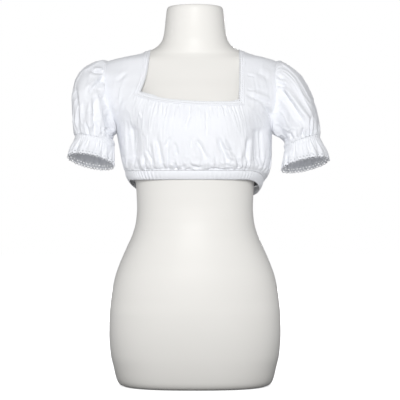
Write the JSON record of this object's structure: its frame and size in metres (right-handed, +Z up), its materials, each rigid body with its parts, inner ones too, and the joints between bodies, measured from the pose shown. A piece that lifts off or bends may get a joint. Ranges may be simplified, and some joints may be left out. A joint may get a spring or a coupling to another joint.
{
  "type": "dirndl blouse on dress form",
  "caption": "Cropped white puff-sleeve dirndl blouse with a square neckline, elastic hem and lace edges, worn by a limbless white dress form.",
  "frame": {"origin": "centre of the dress form's flat underside, on its neck axis", "axes": "+Z up along the form's axis, -Y is the wearer's front, +X is the wearer's left side"},
  "size_m": [0.5498, 0.2536, 0.792],
  "materials": {
    "white_cotton": "fine woven cotton, soft sheen",
    "white_lace": "matte cotton lace",
    "form_plastic": "smooth gloss"
  },
  "bodies": {
    "root": {"back": "white_cotton", "cuff_band_left": "white_cotton", "cuff_band_right": "white_cotton", "cuff_lace_left": "white_lace", "cuff_lace_right": "white_lace", "cuff_ruffle_left": "white_cotton", "cuff_ruffle_right": "white_cotton", "dress_form": "form_plastic", "front": "white_cotton", "hem_casing": "white_cotton", "neck_binding": "white_cotton", "neck_lace": "white_lace", "sleeve_left": "white_cotton", "sleeve_right": "white_cotton"}
  },
  "joints": []
}
